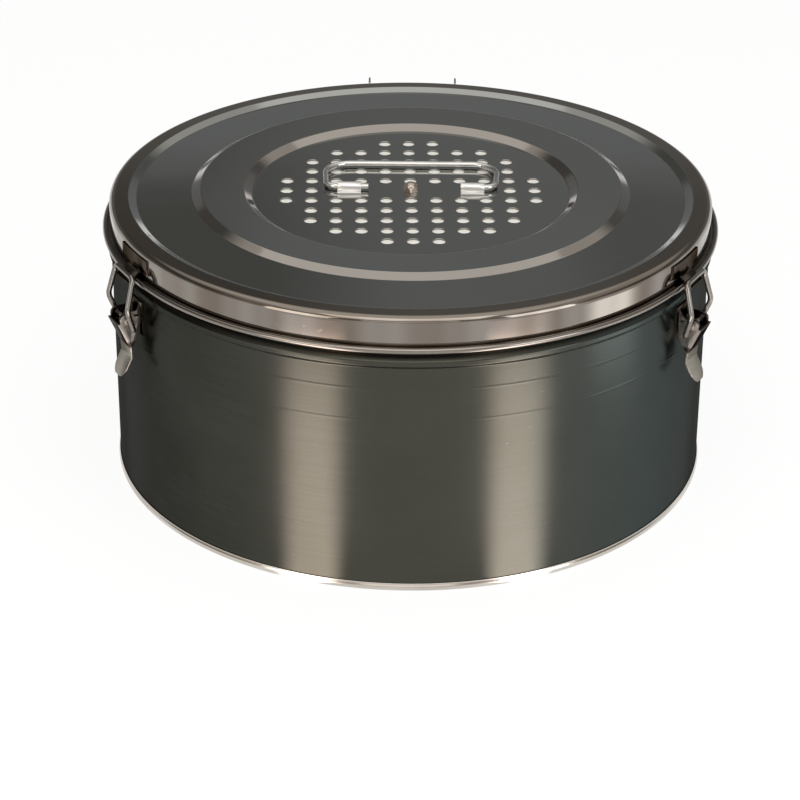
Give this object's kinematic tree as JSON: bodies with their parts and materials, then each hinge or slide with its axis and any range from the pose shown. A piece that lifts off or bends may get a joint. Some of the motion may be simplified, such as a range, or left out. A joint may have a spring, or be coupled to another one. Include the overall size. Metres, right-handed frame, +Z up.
{
  "type": "sterilization container",
  "caption": "Round steel sterilization drum with a hinged perforated lid, a folding wire handle and wire-hoop latches, for holding surgical instruments or dressings.",
  "frame": {"origin": "centre of the base plate's flat underside, on the drum's axis", "axes": "+Z up along the drum's axis, -Y toward the front between the two latches, +Y toward the rear hinge"},
  "size_m": [0.3919, 0.4029, 0.1858],
  "materials": {
    "drum_steel": "soft satin",
    "lid_steel": "bright satin",
    "latch_steel": "satin",
    "fixing_steel": "bright",
    "wire_steel": "polished",
    "silicone": "matte",
    "cloth": "woven"
  },
  "bodies": {
    "drum": {"drum_wall": "drum_steel", "base_plate": "drum_steel", "latch_bracket_left": "latch_steel", "latch_bracket_right": "latch_steel", "latch_pin_left": "fixing_steel", "latch_pin_right": "fixing_steel", "hinge_leaf_drum": "latch_steel", "hinge_pin": "fixing_steel"},
    "lid": {"lid_shell": "lid_steel", "lid_gasket": "silicone", "filter_cloth": "cloth", "filter_seal": "silicone", "filter_holder": "lid_steel", "filter_stud": "fixing_steel", "cap_nut": "fixing_steel", "filter_washer": "fixing_steel", "handle_lug_left": "fixing_steel", "handle_lug_right": "fixing_steel", "lid_catch_left": "latch_steel", "lid_catch_right": "latch_steel", "hinge_leaf_lid": "latch_steel"},
    "handle": {"handle": "wire_steel"},
    "filter_nut": {"filter_nut": "fixing_steel"},
    "lever_left": {"latch_lever_left": "latch_steel"},
    "hoop_left": {"latch_hoop_left": "wire_steel"},
    "lever_right": {"latch_lever_right": "latch_steel"},
    "hoop_right": {"latch_hoop_right": "wire_steel"}
  },
  "joints": [
    {"name": "lid_hinge", "type": "hinge", "parent": "drum", "child": "lid", "pos_m": [0, 0.2025, 0.155], "axis": [-1, 0, 0], "range_deg": [0, 105]},
    {"name": "handle_swing", "type": "hinge", "parent": "lid", "child": "handle", "pos_m": [0, 0, 0.1826], "axis": [1, 0, 0], "range_deg": [0, 180]},
    {"name": "filter_nut_turn", "type": "hinge", "parent": "lid", "child": "filter_nut", "pos_m": [0, 0, 0.173], "axis": [0, 0, 1], "continuous": true},
    {"name": "lever_swing_left", "type": "hinge", "parent": "drum", "child": "lever_left", "pos_m": [-0.17529, -0.09837, 0.137], "axis": [-0.4894, 0.8721, 0], "range_deg": [0, 120]},
    {"name": "hoop_swing_left", "type": "hinge", "parent": "lever_left", "child": "hoop_left", "pos_m": [-0.1725, -0.0968, 0.1299], "axis": [-0.4894, 0.8721, 0], "range_deg": [-150, 0]},
    {"name": "lever_swing_right", "type": "hinge", "parent": "drum", "child": "lever_right", "pos_m": [0.17529, -0.09837, 0.137], "axis": [-0.4894, -0.8721, 0], "range_deg": [0, 120]},
    {"name": "hoop_swing_right", "type": "hinge", "parent": "lever_right", "child": "hoop_right", "pos_m": [0.1725, -0.0968, 0.1299], "axis": [-0.4894, -0.8721, 0], "range_deg": [-150, 0]}
  ],
  "couplings": [
    {"joint": "hoop_swing_left", "follows": "lever_swing_left", "ratio": -1.25},
    {"joint": "hoop_swing_right", "follows": "lever_swing_right", "ratio": -1.25}
  ]
}
